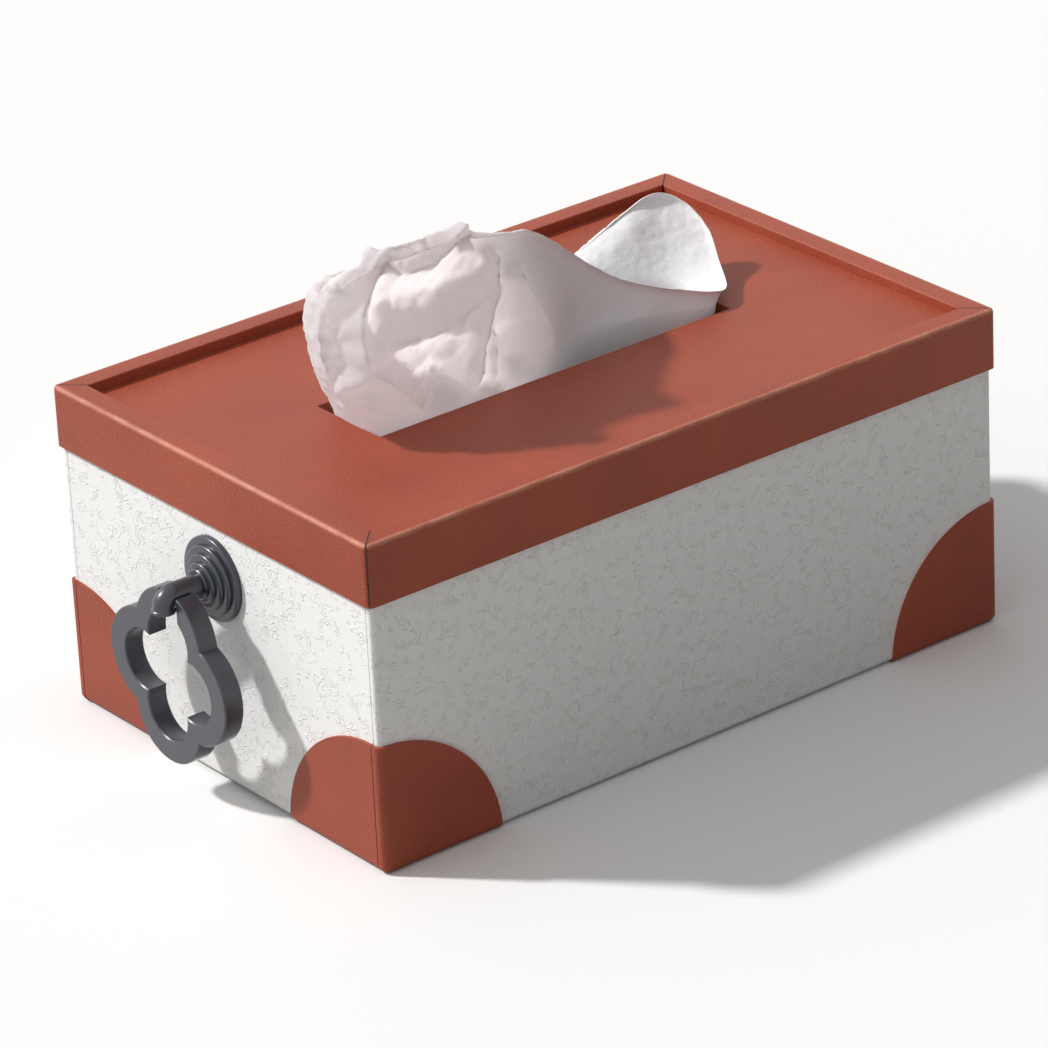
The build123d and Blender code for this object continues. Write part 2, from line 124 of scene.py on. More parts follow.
def feed(tree, shader, **outputs):
    """Links the outputs of nodes to a shader's sockets, whose names have _ for each space."""
    for socket, output in outputs.items():
        tree.links.new(output, shader.inputs[socket.replace("_", " ")])


look_at_photo()
scene.view_settings.view_transform = "Standard"
add_sun("key_sun", towards=(-0.50, 0.55, 0.67), strength=3.0, spread=4.0)

# The studio is white to the camera, in reflections and through thin tissue. To everything else it is a soft
# light, brightest towards a window high up beyond the rear corner at the pull's end, and never quite dark
# opposite it.
WINDOW = (-0.78, 0.42, 0.46)
DIMMEST, BRIGHTEST = 0.06, 0.66
WHITE = 1.0
world = bpy.data.worlds.new("studio")
world.use_nodes = True
scene.world = world
sky = world.node_tree
sky.nodes.clear()
paths = add_node(sky, "ShaderNodeLightPath")
camera_or_gloss = add_node(sky, "ShaderNodeMath", {"operation": "MAXIMUM"},
                           {0: paths.outputs["Is Camera Ray"], 1: paths.outputs["Is Glossy Ray"]})
seen = add_node(sky, "ShaderNodeMath", {"operation": "MAXIMUM"},
                {0: camera_or_gloss.outputs[0], 1: paths.outputs["Is Transmission Ray"]})
directions = add_node(sky, "ShaderNodeTexCoord").outputs["Generated"]
towards_window = add_node(sky, "ShaderNodeVectorMath", {"operation": "DOT_PRODUCT"},
                          {0: directions, 1: WINDOW}).outputs["Value"]
soft_light = add_node(sky, "ShaderNodeMapRange", None,
                      {"Value": towards_window, "From Min": -1.0, "From Max": 1.0,
                       "To Min": DIMMEST, "To Max": BRIGHTEST}).outputs["Result"]
strength = add_node(sky, "ShaderNodeMapRange", None,
                    {"Value": seen.outputs[0], "To Min": soft_light, "To Max": WHITE}).outputs["Result"]
backdrop = add_node(sky, "ShaderNodeBackground", None, {"Color": linear("#FFFFFF"), "Strength": strength})
add_node(sky, "ShaderNodeOutputWorld", None, {"Surface": backdrop.outputs[0]})

# The floor is pale to the camera and in reflections, and a mid grey in the light that it throws on the object.
FLOOR_REACH = 6.0  # metres from its middle to its sides
floor_mesh = bmesh.new()
bmesh.ops.create_grid(floor_mesh, x_segments=1, y_segments=1, size=FLOOR_REACH)
floor_data = bpy.data.meshes.new("floor")
floor_mesh.to_mesh(floor_data)
floor_mesh.free()
floor = bpy.data.objects.new("floor", floor_data)
scene.collection.objects.link(floor)
floor_paint, tree, shader, _ = new_material("studio_floor", Roughness=0.9)
paths = add_node(tree, "ShaderNodeLightPath")
shown = add_node(tree, "ShaderNodeMath", {"operation": "MAXIMUM"},
                 {0: paths.outputs["Is Camera Ray"], 1: paths.outputs["Is Glossy Ray"]})
floor_colour = add_node(tree, "ShaderNodeMix", {"data_type": "RGBA"},
                        {0: shown.outputs[0], 6: linear("#A3A19F"), 7: linear("#F3F2F1")}).outputs[2]
feed(tree, shader, Base_Color=floor_colour)
floor_data.materials.append(floor_paint)


# ---- Materials ----
def leather(name):
    """Smooth pigmented leather: an even terracotta with a fine pebble grain and a satin film.

    It is a little mottled in clouds 34 mm across; its pebbles are 1.3 mm and its pores 0.7 mm, with a little
    painted shade in the valleys between the pebbles.
    """
    material, tree, shader, place = new_material(name, Specular_IOR_Level=0.32)
    mottle = add_node(tree, "ShaderNodeTexNoise", None,
                      {"Vector": place, "Scale": 1 / (34 * MM), "Detail": 3.0})
    pebbles = add_node(tree, "ShaderNodeTexVoronoi", {"feature": "DISTANCE_TO_EDGE"},
                       {"Vector": place, "Scale": 1 / (1.3 * MM)})
    grain = add_node(tree, "ShaderNodeMapRange", None,
                     {"Value": pebbles.outputs["Distance"], "From Max": 0.25})
    pores = add_node(tree, "ShaderNodeTexNoise", None,
                     {"Vector": place, "Scale": 1 / (0.7 * MM), "Detail": 1.0})
    clouds = add_node(tree, "ShaderNodeMapRange", None,
                      {"Value": mottle.outputs[0], "From Min": 0.3, "From Max": 0.7})
    tone = add_node(tree, "ShaderNodeMix", {"data_type": "RGBA"},
                    {0: clouds.outputs[0], 6: linear("#97432C"), 7: linear("#A64F36")}).outputs[2]
    # Painted shade: the valleys between the pebbles are painted up to 13% darker.
    valley_shade = add_node(tree, "ShaderNodeMapRange", None,
                       {"Value": grain.outputs[0], "To Min": 0.13, "To Max": 0.0})
    colour = add_node(tree, "ShaderNodeMix", {"data_type": "RGBA"},
                      {0: valley_shade.outputs[0], 6: tone, 7: linear("#6E2A1B")}).outputs[2]
    pore_share = 0.5
    height = add_node(tree, "ShaderNodeMath", {"operation": "MULTIPLY_ADD"},
                      {0: pores.outputs[0], 1: pore_share, 2: grain.outputs[0]}).outputs[0]
    satin = add_node(tree, "ShaderNodeMapRange", None,
                     {"Value": mottle.outputs[0], "From Min": 0.2, "From Max": 0.8,
                      "To Min": 0.44, "To Max": 0.54})
    relief = add_node(tree, "ShaderNodeBump", None, {"Height": height, "Distance": 0.06 * MM})
    feed(tree, shader, Roughness=satin.outputs[0], Base_Color=colour, Normal=relief.outputs[0])
    return material, tree, shader, place, colour, height


panel_leather = leather("terracotta_leather_panel")[0]

# The band's leather also shows how it is put on: a seam down each corner that goes on as a mitre across the
# rim. Along its top edge it has a painted highlight, paler and broken up in patches.
SEAM_DEPTH = -2.5  # times the height of the grain
band_leather, tree, shader, place, colour, height = leather("terracotta_leather_band")
axes = add_node(tree, "ShaderNodeSeparateXYZ", None, {0: place})
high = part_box("top_band_leather")[1]
from_middle = add_node(tree, "ShaderNodeVectorMath", {"operation": "ABSOLUTE"}, {0: place})
beyond = add_node(tree, "ShaderNodeVectorMath", {"operation": "SUBTRACT"},
                  {0: from_middle.outputs[0], 1: high})
past = add_node(tree, "ShaderNodeSeparateXYZ", None, {0: beyond.outputs[0]})
across = add_node(tree, "ShaderNodeMath", {"operation": "SUBTRACT"},
                  {0: past.outputs["X"], 1: past.outputs["Y"]})
off_seam = add_node(tree, "ShaderNodeMath", {"operation": "ABSOLUTE"}, {0: across.outputs[0]})
mitre = add_node(tree, "ShaderNodeMapRange", None,
                 {"Value": off_seam.outputs[0], "From Min": 0.2 * MM, "From Max": 0.55 * MM,
                  "To Min": 1.0, "To Max": 0.0})
outermost = add_node(tree, "ShaderNodeMath", {"operation": "MAXIMUM"},
                     {0: past.outputs["X"], 1: past.outputs["Y"]})
near_edge = add_node(tree, "ShaderNodeMapRange", None,
                     {"Value": outermost.outputs[0], "From Min": -1.8 * MM, "From Max": -0.8 * MM})
near_top = add_node(tree, "ShaderNodeMapRange", None,
                    {"Value": axes.outputs["Z"],
                     "From Min": high.z - 1.5 * MM, "From Max": high.z - 0.4 * MM})
# Painted highlight: the band's top outer edge is painted paler, in patches, where its rounded edge catches the
# light.
highlight_breakup = add_node(tree, "ShaderNodeTexNoise", None, {"Vector": place, "Scale": 1 / (9 * MM)})
highlight_share = add_node(tree, "ShaderNodeMapRange", None,
                {"Value": highlight_breakup.outputs[0], "From Min": 0.25, "From Max": 0.6,
                 "To Min": 0.25, "To Max": 0.85})
edge = add_node(tree, "ShaderNodeMath", {"operation": "MULTIPLY"},
                {0: near_edge.outputs[0], 1: near_top.outputs[0]})
painted_highlight = add_node(tree, "ShaderNodeMath", {"operation": "MULTIPLY"},
                  {0: edge.outputs[0], 1: highlight_share.outputs[0]})
with_painted_highlight = add_node(tree, "ShaderNodeMix", {"data_type": "RGBA"},
                 {0: painted_highlight.outputs[0], 6: colour, 7: linear("#CD8A72")}).outputs[2]
seamed = add_node(tree, "ShaderNodeMix", {"data_type": "RGBA"},
                  {0: mitre.outputs[0], 6: with_painted_highlight, 7: linear("#4A1A10")}).outputs[2]
folded = add_node(tree, "ShaderNodeMath", {"operation": "MULTIPLY_ADD"},
                  {0: mitre.outputs[0], 1: SEAM_DEPTH, 2: height})
relief = add_node(tree, "ShaderNodeBump", None, {"Height": folded.outputs[0], "Distance": 0.07 * MM})
feed(tree, shader, Base_Color=seamed, Normal=relief.outputs[0])

# The corner patches are cut from the same leather.
patch_leather = leather("terracotta_leather_patch")[0]

# Embossed covering: coated white sheet pressed with short crooked ridges, which show as faint strokes where the
# light rakes them; nearly matt. A ridge runs where the swirl passes its middle value, and it carries a little
# painted shade.
SWIRL_MIDDLE = 0.5
SPECKLE_SHARE = 0.35  # of the height of a ridge
RIDGE_SHADE_SHARE = 0.09  # how far a ridge goes towards the darker tone
covering, tree, shader, place = new_material("embossed_white_covering", Specular_IOR_Level=0.35,
                                             Roughness=0.6)
swirl = add_node(tree, "ShaderNodeTexNoise", None,
                 {"Vector": place, "Scale": 1 / (4.6 * MM), "Detail": 1.2, "Distortion": 1.6})
line = add_node(tree, "ShaderNodeMath", {"operation": "SUBTRACT"}, {0: swirl.outputs[0], 1: SWIRL_MIDDLE})
gap = add_node(tree, "ShaderNodeMath", {"operation": "ABSOLUTE"}, {0: line.outputs[0]})
ridge = add_node(tree, "ShaderNodeMapRange", {"interpolation_type": "SMOOTHSTEP"},
                 {"Value": gap.outputs[0], "From Min": 0.0, "From Max": 0.045,
                  "To Min": 1.0, "To Max": 0.0})
patchy = add_node(tree, "ShaderNodeTexNoise", None,
                  {"Vector": place, "Scale": 1 / (4.2 * MM), "Detail": 1.0})
broken = add_node(tree, "ShaderNodeMapRange", {"interpolation_type": "SMOOTHSTEP"},
                  {"Value": patchy.outputs[0], "From Min": 0.42, "From Max": 0.6})
stroke = add_node(tree, "ShaderNodeMath", {"operation": "MULTIPLY"},
                  {0: ridge.outputs[0], 1: broken.outputs[0]})
speckle = add_node(tree, "ShaderNodeTexNoise", None,
                   {"Vector": place, "Scale": 1 / (1.3 * MM), "Detail": 2.0})
pressed = add_node(tree, "ShaderNodeMath", {"operation": "MULTIPLY_ADD"},
                   {0: speckle.outputs[0], 1: SPECKLE_SHARE, 2: stroke.outputs[0]})
# Painted shade: each ridge is painted a little darker than the sheet around it.
ridge_shade = add_node(tree, "ShaderNodeMath", {"operation": "MULTIPLY"}, {0: stroke.outputs[0], 1: RIDGE_SHADE_SHARE})
colour = add_node(tree, "ShaderNodeMix", {"data_type": "RGBA"},
                  {0: ridge_shade.outputs[0], 6: linear("#F4F3F1"), 7: linear("#C4C2BD")}).outputs[2]
relief = add_node(tree, "ShaderNodeBump", None, {"Height": pressed.outputs[0], "Distance": 0.17 * MM})
feed(tree, shader, Base_Color=colour, Normal=relief.outputs[0])

# Medium density fibreboard: dull brown, flecked with darker and paler fibres.
fibreboard, tree, shader, place = new_material("raw_fibreboard", Roughness=0.85)
flecks = add_node(tree, "ShaderNodeTexNoise", None,
                  {"Vector": place, "Scale": 1 / (1.1 * MM), "Detail": 3.0, "Distortion": 0.6})
fibre = add_node(tree, "ShaderNodeMapRange", None,
                 {"Value": flecks.outputs[0], "From Min": 0.35, "From Max": 0.65})
colour = add_node(tree, "ShaderNodeMix", {"data_type": "RGBA"},
                  {0: fibre.outputs[0], 6: linear("#8E7354"), 7: linear("#B79A75")}).outputs[2]
relief = add_node(tree, "ShaderNodeBump", None, {"Height": flecks.outputs[0], "Distance": 0.08 * MM})
feed(tree, shader, Base_Color=colour, Normal=relief.outputs[0])

# Lining paper: matt cream stock with short fibres and a slight cockle from the glue.
FIBRE_SHARE = 0.15  # of the height of the cockle
lining_paper, tree, shader, place = new_material("cream_lining_paper", Roughness=0.9)
fibres = add_node(tree, "ShaderNodeTexNoise", None,
                  {"Vector": place, "Scale": 1 / (1.6 * MM), "Detail": 4.0, "Distortion": 2.2})
cockle = add_node(tree, "ShaderNodeTexNoise", None, {"Vector": place, "Scale": 1 / (26 * MM), "Detail": 1.0})
fibre = add_node(tree, "ShaderNodeMapRange", None,
                 {"Value": fibres.outputs[0], "From Min": 0.38, "From Max": 0.62})
colour = add_node(tree, "ShaderNodeMix", {"data_type": "RGBA"},
                  {0: fibre.outputs[0], 6: linear("#D0C7B4"), 7: linear("#DDD5C5")}).outputs[2]
height = add_node(tree, "ShaderNodeMath", {"operation": "MULTIPLY_ADD"},
                  {0: fibres.outputs[0], 1: FIBRE_SHARE, 2: cockle.outputs[0]})
relief = add_node(tree, "ShaderNodeBump", None, {"Height": height.outputs[0], "Distance": 0.35 * MM})
feed(tree, shader, Base_Color=colour, Normal=relief.outputs[0])

# Pressed felt: dark, fuzzy and without shine. Its hairs are too fine to show, so they are drawn as tufts 0.8 mm
# across.
felt, tree, shader, place = new_material("pressed_felt", Roughness=1.0, Sheen_Weight=0.35, Sheen_Roughness=0.6)
fuzz = add_node(tree, "ShaderNodeTexNoise", None,
                {"Vector": place, "Scale": 1 / (0.8 * MM), "Detail": 4.0, "Distortion": 1.5})
colour = add_node(tree, "ShaderNodeMix", {"data_type": "RGBA"},
                  {0: fuzz.outputs[0], 6: linear("#26231F"), 7: linear("#4A453E")}).outputs[2]
relief = add_node(tree, "ShaderNodeBump", None, {"Height": fuzz.outputs[0], "Distance": 0.2 * MM})
feed(tree, shader, Base_Color=colour, Normal=relief.outputs[0])

# Satin black enamel on a zinc casting: blue black with a soft gloss and a faint orange peel.
enamel, tree, shader, place = new_material("satin_black_enamel", Specular_IOR_Level=0.6, Coat_Weight=0.3,
                                           Coat_Roughness=0.16)
peel = add_node(tree, "ShaderNodeTexNoise", None, {"Vector": place, "Scale": 1 / (1.4 * MM), "Detail": 1.5})
cloud = add_node(tree, "ShaderNodeTexNoise", None, {"Vector": place, "Scale": 1 / (11 * MM)})
share = add_node(tree, "ShaderNodeMapRange", None,
                 {"Value": cloud.outputs[0], "From Min": 0.3, "From Max": 0.7})
colour = add_node(tree, "ShaderNodeMix", {"data_type": "RGBA"},
                  {0: share.outputs[0], 6: linear("#2B2E37"), 7: linear("#343741")}).outputs[2]
gloss = add_node(tree, "ShaderNodeMapRange", None,
                 {"Value": cloud.outputs[0], "From Min": 0.25, "From Max": 0.75,
                  "To Min": 0.28, "To Max": 0.4})
relief = add_node(tree, "ShaderNodeBump", None, {"Height": peel.outputs[0], "Distance": 0.03 * MM})
feed(tree, shader, Base_Color=colour, Roughness=gloss.outputs[0], Normal=relief.outputs[0])

# Zinc plated steel: bright grey metal with scratches six times as long as they are wide.
SCRATCHED = (6, 1, 1)
steel, tree, shader, place = new_material("zinc_plated_steel", Metallic=1.0)
drawn = add_node(tree, "ShaderNodeMapping", None, {"Vector": place, "Scale": SCRATCHED})
scratches = add_node(tree, "ShaderNodeTexNoise", None,
                     {"Vector": drawn.outputs[0], "Scale": 1 / (1.2 * MM), "Detail": 3.0})
colour = add_node(tree, "ShaderNodeMix", {"data_type": "RGBA"},
                  {0: scratches.outputs[0], 6: linear("#8F9193"), 7: linear("#B4B6B8")}).outputs[2]
gloss = add_node(tree, "ShaderNodeMapRange", None,
                 {"Value": scratches.outputs[0], "To Min": 0.25, "To Max": 0.45})
relief = add_node(tree, "ShaderNodeBump", None, {"Height": scratches.outputs[0], "Distance": 0.02 * MM})
feed(tree, shader, Base_Color=colour, Roughness=gloss.outputs[0], Normal=relief.outputs[0])


def tissue(name):
    """Two-ply tissue: soft white crepe, matt, with crossways ribs.

    Real ribs are too fine to show, so they are drawn 1.1 mm long and half as high.
    """
    ribbed = (1.0, 1.0, 2.2)
    material, tree, shader, place = new_material(name, Roughness=0.95, Specular_IOR_Level=0.15)
    ribs = add_node(tree, "ShaderNodeMapping", None, {"Vector": place, "Scale": ribbed})
    crepe = add_node(tree, "ShaderNodeTexNoise", None,
                     {"Vector": ribs.outputs[0], "Scale": 1 / (1.1 * MM), "Detail": 3.0, "Distortion": 0.8})
    share = add_node(tree, "ShaderNodeMapRange", None,
                     {"Value": crepe.outputs[0], "From Min": 0.3, "From Max": 0.7})
    colour = add_node(tree, "ShaderNodeMix", {"data_type": "RGBA"},
                      {0: share.outputs[0], 6: linear("#F2F0F2"), 7: linear("#FBFAFC")}).outputs[2]
    relief = add_node(tree, "ShaderNodeBump", None, {"Height": crepe.outputs[0], "Distance": 0.1 * MM})
    feed(tree, shader, Base_Color=colour, Normal=relief.outputs[0])
    return material, tree, shader, place


tissue_packed = tissue("tissue_crepe_packed")[0]

# The pulled-up sheet lets light through: most at its left, where it stands alone, and least at its right, where
# it lies doubled.
THIN_SHARE, DOUBLED_SHARE = 0.76, 0.1
tissue_single, tree, shader, place = tissue("tissue_crepe_single_sheet")
axes = add_node(tree, "ShaderNodeSeparateXYZ", None, {0: place})
thin = add_node(tree, "ShaderNodeMapRange", {"interpolation_type": "SMOOTHSTEP"},
                {"Value": axes.outputs["X"], "From Min": -40 * MM, "From Max": 25 * MM,
                 "To Min": THIN_SHARE, "To Max": DOUBLED_SHARE})
through = add_node(tree, "ShaderNodeBsdfTranslucent", None, {"Color": linear("#F9F6F6")})
both = add_node(tree, "ShaderNodeMixShader", None,
                {0: thin.outputs[0], 1: shader.outputs[0], 2: through.outputs[0]})
tree.links.new(both.outputs[0], tree.nodes["Material Output"].inputs["Surface"])

# Every CAD solid gets the finish of its slot, and the panel and the band get their own leathers.
FINISHES = {
    "terracotta_leather": patch_leather,
    "white_embossed_covering": covering,
    "fibreboard": fibreboard,
    "lining_paper": lining_paper,
    "felt": felt,
    "black_enamel": enamel,
    "steel": steel,
    "tissue_paper": tissue_packed,
}
for subpart in frame["record"]["subparts"]:
    solid = frame["nodes"][subpart["node"]]
    for coat in solid.material_slots:
        coat.material = FINISHES[subpart["material_slot"]]
frame["nodes"]["top_panel_leather"].material_slots[0].material = panel_leather
frame["nodes"]["top_band_leather"].material_slots[0].material = band_leather


# ---- Pieces ----
MERGE = 0.001 * MM
SQUARE_CREASE = 50  # degrees: rounded shoulders and folds shade smooth, and square edges stay sharp


def place_mesh(name, shape, body, material):
    """Makes a piece of a finished bmesh, in place, and lets it ride with a body."""
    data = bpy.data.meshes.new(name)
    shape.to_mesh(data)
    shape.free()
    piece = bpy.data.objects.new(name, data)
    scene.collection.objects.link(piece)
    data.materials.append(material)
    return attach(piece, body)


def apply_modifiers(piece):
    """Turns the piece's modifiers into its mesh."""
    bpy.context.view_layer.update()
    finished = bpy.data.meshes.new_from_object(piece.evaluated_get(bpy.context.evaluated_depsgraph_get()))
    piece.modifiers.clear()
    piece.data = finished


def smooth_faces(shape, crease_degrees):
    """Shades a shape smooth, except across edges sharper than the given angle."""
    shape.normal_update()
    for face in shape.faces:
        face.smooth = True
    for edge in shape.edges:
        edge.smooth = len(edge.link_faces) == 2 and edge.calc_face_angle() < math.radians(crease_degrees)


def smooth_copy(node, body, material, crease_degrees=28):
    """A merged, smoothly shaded copy of a CAD solid that stands for it."""
    shape = bmesh.new()
    shape.from_mesh(frame["nodes"][node].data)
    bmesh.ops.remove_doubles(shape, verts=shape.verts[:], dist=MERGE)
    for face in shape.faces:
        face.material_index = 0
    smooth_faces(shape, crease_degrees)
    piece = place_mesh(node + "_smooth", shape, body, material)
    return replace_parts(piece, node)


smooth_copy("top_band_leather", "casing", band_leather)
smooth_copy("body_covering", "casing", covering)
smooth_copy("drawer_front_covering", "drawer", covering)
for end in ("pull_end", "closed_end"):
    for side in ("front", "rear"):
        smooth_copy(f"corner_patch_{end}_{side}", "casing", patch_leather)
for side in ("front", "rear"):
    smooth_copy(f"drawer_patch_{side}", "drawer", patch_leather)
smooth_copy("pull_ring", "ring", enamel)
smooth_copy("pull_post", "drawer", enamel, crease_degrees=40)

# Rosette: turned, each step with a full rounded shoulder that draws a bright arc.
low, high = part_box("pull_rosette")
rosette_z = (low.z + high.z) / 2
STEPS = ((13.9, 2.0), (11.4, 3.4), (9.0, 4.6), (6.6, 5.9))  # radius, and how far it stands out, in mm
BORE = 3.0 * MM
SHOULDER = 0.85 * MM
BACK_RIM = 1.5 * MM  # nearer the drawer front than this, edges stay square
POST_FOOT = 5 * MM  # and nearer the axis than this, under the post
rosette = bmesh.new()
outline = [rosette.verts.new((high.x, 0, rosette_z + STEPS[0][0] * MM))]
inner_radii = [radius * MM for radius, _ in STEPS[1:]] + [BORE]
for (radius, out), inner in zip(STEPS, inner_radii):
    outline.append(rosette.verts.new((high.x - out * MM, 0, rosette_z + radius * MM)))
    outline.append(rosette.verts.new((high.x - out * MM, 0, rosette_z + inner)))
outline.append(rosette.verts.new((high.x, 0, rosette_z + BORE)))
section = [rosette.edges.new(pair) for pair in zip(outline, outline[1:] + outline[:1])]
bmesh.ops.spin(rosette, geom=outline + section, cent=(high.x, 0, rosette_z), axis=(1, 0, 0), steps=96,
               angle=math.tau, use_merge=True)
bmesh.ops.remove_doubles(rosette, verts=rosette.verts[:], dist=MERGE)
bmesh.ops.recalc_face_normals(rosette, faces=rosette.faces[:])
shoulders = []
for edge in rosette.edges:
    corner = edge.verts[0].co
    off_axis = (corner - Vector((corner.x, 0, rosette_z))).length
    square = edge.is_convex and edge.calc_face_angle(0) > 1.0
    if square and corner.x < high.x - BACK_RIM and off_axis > POST_FOOT:
        shoulders.append(edge)
bmesh.ops.bevel(rosette, geom=shoulders, offset=SHOULDER, offset_type="OFFSET", affect="EDGES", segments=4,
                profile=0.5, material=-1)
smooth_faces(rosette, SQUARE_CREASE)
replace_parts(place_mesh("pull_rosette_turned", rosette, "drawer", enamel), "pull_rosette")

# Pack of tissues, part used: folded sheets in layers, none quite in line with the next.
low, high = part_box("tissue_stack")
LAYERS = 25
FILLED = 0.96  # of a layer's height is paper, and the rest is the gap to the next
ROUNDED = 0.42  # of a layer's height, at its folds
SHIFT = 0.3  # how far a layer lies off the middle, in mm
deal = random.Random(11)
pack = bmesh.new()
step = (high.z - low.z) / LAYERS
for layer in range(LAYERS):
    length = high.x - low.x - deal.uniform(0.6, 2.4) * MM
    width = high.y - low.y - deal.uniform(0.6, 2.2) * MM
    middle = Vector((deal.uniform(-SHIFT, SHIFT) * MM, deal.uniform(-SHIFT, SHIFT) * MM,
                     low.z + (layer + 0.5) * step))
    stretch = Matrix.Diagonal((length, width, step * FILLED, 1.0))
    block = bmesh.ops.create_cube(pack, size=1.0, matrix=Matrix.Translation(middle) @ stretch)["verts"]
    rims = {edge for vert in block for edge in vert.link_edges}
    bmesh.ops.bevel(pack, geom=list(rims), offset=step * ROUNDED, offset_type="OFFSET", affect="EDGES",
                    segments=3, profile=0.5, material=-1)
smooth_faces(pack, SQUARE_CREASE)
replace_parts(place_mesh("tissue_pack_folded", pack, "drawer", tissue_packed), "tissue_stack")

# ---- Crumpled tissue standing in the slot ----
# Each station of the sheet, from its hidden end behind the left lobe, round the slot's left end, along its
# near edge, round its right end and back along the far edge: x and y in the slot, x, y and z of the top edge,
# how far the middle bulges in x and y, and how far the edge has fallen over. All in millimetres.
STATIONS = (
    (-50, 14.8, -50, 17, 146, -1, 1, 0),
    (-62, 14.5, -63, 15, 149, -3, 1, 1),
    (-69.2, 10.5, -73, 11, 150, -4, 0, 3),
    (-69.5, 3, -79, 5, 153, -6, 0, 4),
    (-69.5, -5, -81, -3, 156, -9, -2, 5),
    (-68.5, -13, -82, -8, 160, -10, -5, 5),
    (-60, -15.2, -76, -11, 164, -8, -7, 6),
    (-50, -15.2, -62, -9, 167, -5, -8, 7),
    (-41, -15.2, -50, -8, 167.5, -2, -7, 8),
    (-33, -15.2, -39, -8, 166, 0, -6, 7),
    (-26, -15.2, -27, -5, 161, 0, -5, 5),
    (-18, -15.2, -13, -1, 153.5, 0, -4, 3),
    (-9, -14.6, 3, 5, 148.5, 0, -3, 1),
    (2, -10, 18, 8, 137, 0, -1, 0),
    (14, -5, 30, 8, 127, 0, 1, 0),
    (28, -3, 39.5, 4, 119, 0, 1, 0),
    (44, -6, 47.5, -3, 116, 0, 0, 0),
    (58, -12, 59, -9, 113, 0, 0, 0),
    (68, -14.5, 70.5, -13, 110, 0, 0, 0),
    (69.5, -6, 77, -5, 110, 0, 0, 0),
    (69.5, 3, 83, 6, 112.5, 0, 0, 0),
    (67, 9, 86.5, 14, 119.5, 0, 0, 0),
    (59, 13, 86.5, 23, 125.5, 0, 0, 0),
    (48, 15, 82, 30, 129.5, 0, 0, 0),
    (36, 15.2, 75, 33, 129.5, 0, 0, 0),
    (24, 15.2, 60, 34, 122.5, 0, 0, 0),
    (12, 15.2, 44, 34, 116, 0, 0, 0),
)
TAIL_Z = 84.0  # above the pack
TAIL_DRAWN_IN = 0.95
SLOT_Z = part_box("top_panel_leather")[1].z / MM + 0.7  # just above the leather
RISES = (0.2, 0.47, 0.76, 1.0)  # the rows' shares of the way from the slot to the top edge
LIP_OUT, LIP_UP = 2, 1  # where the lip ends, in front of the top edge and above it
FALL_OUT = 0.5  # how far the lip goes out for each millimetre that it has fallen


def sheet_cage():
    """A grid whose columns are the stations and whose rows climb from the tail, by the slot, to the lip."""
    rows = len(RISES) + 3
    shape = bmesh.new()
    bmesh.ops.create_grid(shape, x_segments=len(STATIONS) - 1, y_segments=rows - 1, size=1.0)
    shape.verts.ensure_lookup_table()
    for index, vert in enumerate(shape.verts):
        row, column = divmod(index, len(STATIONS))
        x0, y0, x1, y1, z1, bulge_x, bulge_y, fallen = STATIONS[column]
        if row == 0:
            point = (x0 * TAIL_DRAWN_IN, y0, TAIL_Z)
        elif row == 1:
            point = (x0, y0, SLOT_Z)
        elif row == rows - 1:
            point = (x1, y1 - LIP_OUT - fallen * FALL_OUT, z1 + LIP_UP - fallen)
        else:
            rise = RISES[row - 2]
            swell = 4 * rise * (1 - rise)
            point = (x0 + (x1 - x0) * rise + bulge_x * swell,
                     y0 + (y1 - y0) * rise + bulge_y * swell,
                     SLOT_Z + (z1 - SLOT_Z) * rise)
        vert.co = Vector(point) * MM
    return shape


# Folds of the near wall, as the camera sees them on a plane that stands at the slot's near edge: each one's
# line in x and z, how far it stands out, half its width, and how sharp its crest is, from 0, round, to 1,
# creased. One that goes in stands out by less than nothing. All in millimetres.
FOLD_PLANE_Y = -16
SIGHT_X, SIGHT_Z = 0.77, 0.54  # how far the line of sight goes towards -x and up, for each millimetre forward
FADES_AT = 3  # half widths from its line, where a fold has died away
CREASE_FALL = 1.6  # how steeply a sharp crest falls
FOLDS = (
    (((-26, 152), (-30.5, 135), (-34.5, 118), (-36, 107)), 6.2, 3.6, 1.0),
    (((-26, 127), (-26.6, 107)), 3.0, 1.8, 1.0),
    (((-17, 144), (-8, 126), (-0.5, 107)), 5.0, 4.0, 0.9),
    (((-31, 142), (-40, 135), (-54, 134.5), (-66, 137)), 5.0, 4.0, 0.7),
    (((-69, 163), (-76, 147), (-75, 134)), 5.0, 4.0, 1.0),
    (((-84, 128), (-72, 129.5), (-61, 120), (-51, 107)), 4.0, 3.6, 0.9),
    (((-74, 168), (-61, 157), (-48, 156), (-38, 163)), 4.5, 3.4, 1.0),
    (((-39, 165), (-31, 154)), 3.0, 2.6, 0.9),
    (((-62, 148), (-42, 146)), -7.0, 8.0, 0.0),
    (((2, 112), (18, 109)), -2.6, 5.0, 0.0),
    (((-46, 128), (-42, 110)), -4.0, 5.0, 0.0),
    (((-20, 124), (-14, 110)), -3.0, 4.5, 0.0),
    (((-86, 146), (-84, 134)), -3.0, 5.0, 0.0),
)


def distance_to_line(point, line):
    """From a point to the nearest of a line's straight runs, all in x and z."""
    nearest = math.inf
    for start, end in zip(line, line[1:]):
        share = max(0.0, min(1.0, intersect_point_line(point, start, end)[1]))
        foot = (start[0] + share * (end[0] - start[0]), start[1] + share * (end[1] - start[1]))
        nearest = min(nearest, math.dist(point, foot))
    return nearest


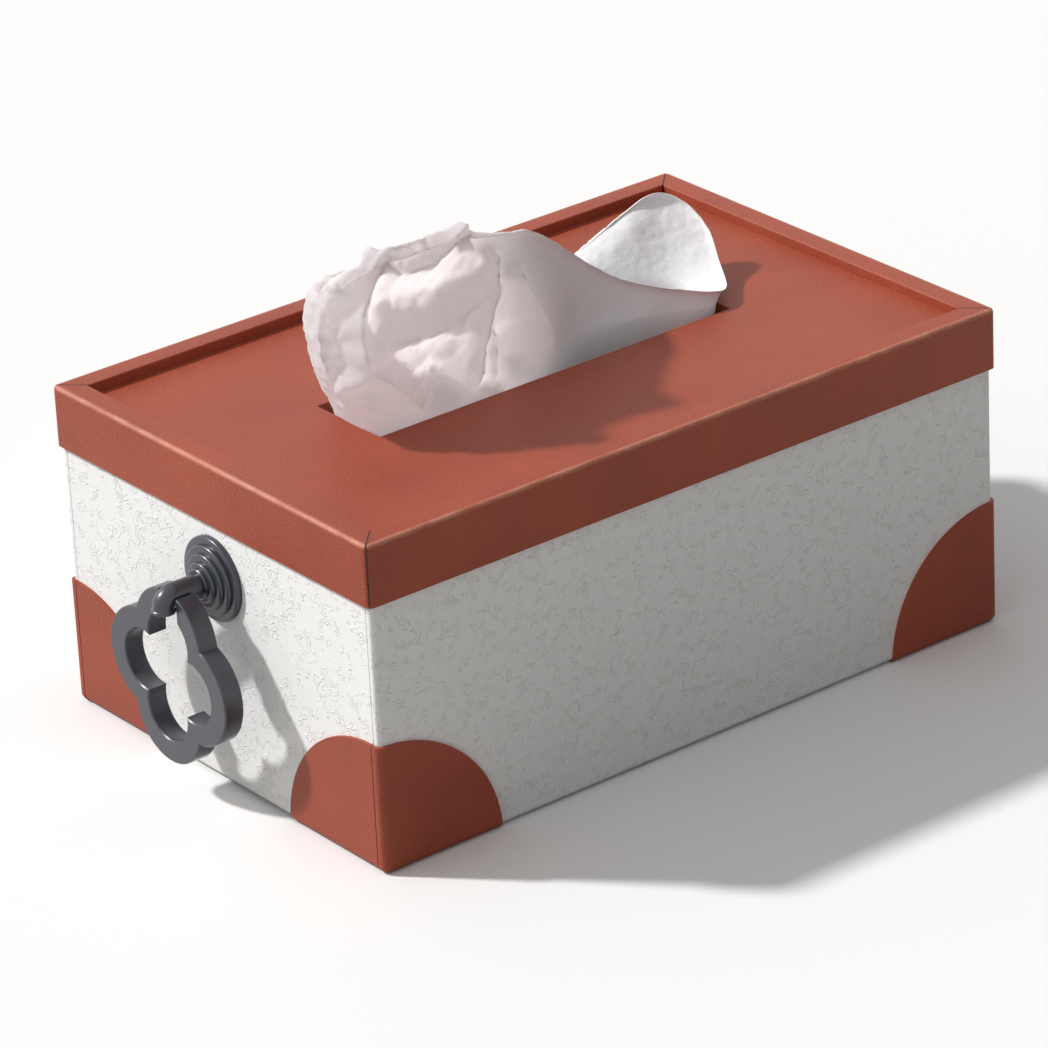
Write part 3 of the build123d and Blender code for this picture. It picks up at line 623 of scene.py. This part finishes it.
def fold_height(point):
    """How far the near wall stands out at a point of the folds' plane, in millimetres."""
    total = 0.0
    for line, rise, half_width, crease in FOLDS:
        off = distance_to_line(point, line) / half_width
        if off < FADES_AT:
            creased, rounded = math.exp(-CREASE_FALL * off), math.exp(-off * off)
            total += rise * (crease * creased + (1 - crease) * rounded)
    return total


def facets(point, spacing_mm, seed):
    """Crumpled paper: 0 at the sharp creases where its facets meet, and up to about 1 in the middle of one."""
    distances = noise.voronoi(point / (spacing_mm * MM) + Vector((seed, 0, 0)))[0]
    return distances[1] - distances[0]


def part_way(value, none_at, all_at):
    """How far a value has come from one limit, 0, to the other, 1, and no further."""
    return min(1.0, max(0.0, (value - none_at) / (all_at - none_at)))


# The slot holds the sheet below one height, and above another it is free. It is crumpled most at its left, and
# the folds are in its near wall alone. All in millimetres.
HELD_Z, FREE_Z = 107.5, 115.5
CALM_X, BUSY_X = -15, -45
CALMEST = 0.15
FAR_Y, NEAR_Y = 9, 4
SWELL_HEIGHT, SWELL_SIZE, SWELL_START = 0.9, 15, Vector((3.7, 0, 0))
PUFFED = 1.4  # how far the sheet stands out before its creases go in
CREASES = ((3.0, 13.0, 5.0), (1.7, 6.0, 9.0), (0.5, 2.8, 4.0))  # depth, distance apart, start of the noise
CREPE_HEIGHT, CREPE_SIZE = 0.12, 2.2
EASED = 0.25  # how far each point then moves towards its neighbours' middle
PLIES_THICKNESS = 0.3

sheet = place_mesh("tissue_sheet_crumpled", sheet_cage(), "casing", tissue_single)
rounding = sheet.modifiers.new("rounding", "SUBSURF")
rounding.levels = rounding.render_levels = 4
apply_modifiers(sheet)
crumpled = bmesh.new()
crumpled.from_mesh(sheet.data)
crumpled.normal_update()
moves = []
for vert in crumpled.verts:
    x, y, z = vert.co / MM
    free = part_way(z, HELD_Z, FREE_Z)
    busy = max(CALMEST, part_way(x, CALM_X, BUSY_X))
    near_wall = part_way(y, FAR_Y, NEAR_Y)
    crumple = PUFFED
    for depth, spacing, seed in CREASES:
        crumple -= depth * facets(vert.co, spacing, seed)
    swell = noise.noise(vert.co / (SWELL_SIZE * MM) + SWELL_START)
    crepe = noise.noise(vert.co / (CREPE_SIZE * MM))
    rise = SWELL_HEIGHT * swell + busy * crumple + CREPE_HEIGHT * crepe
    if near_wall * free > 0:
        forward = -1.0 if vert.normal.y > 0 else 1.0
        behind = y - FOLD_PLANE_Y
        seen_at = (x - SIGHT_X * behind, z + SIGHT_Z * behind)
        rise += fold_height(seen_at) * near_wall * forward
    moves.append(vert.normal * rise * MM * free)
for vert, move in zip(crumpled.verts, moves):
    vert.co += move
bmesh.ops.smooth_vert(crumpled, verts=crumpled.verts[:], factor=EASED, use_axis_x=True, use_axis_y=True,
                      use_axis_z=True)
for face in crumpled.faces:
    face.smooth = True
crumpled.to_mesh(sheet.data)
crumpled.free()
ply = sheet.modifiers.new("two_plies", "SOLIDIFY")
ply.thickness = PLIES_THICKNESS * MM
apply_modifiers(sheet)
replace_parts(sheet, "tissue_sheet")
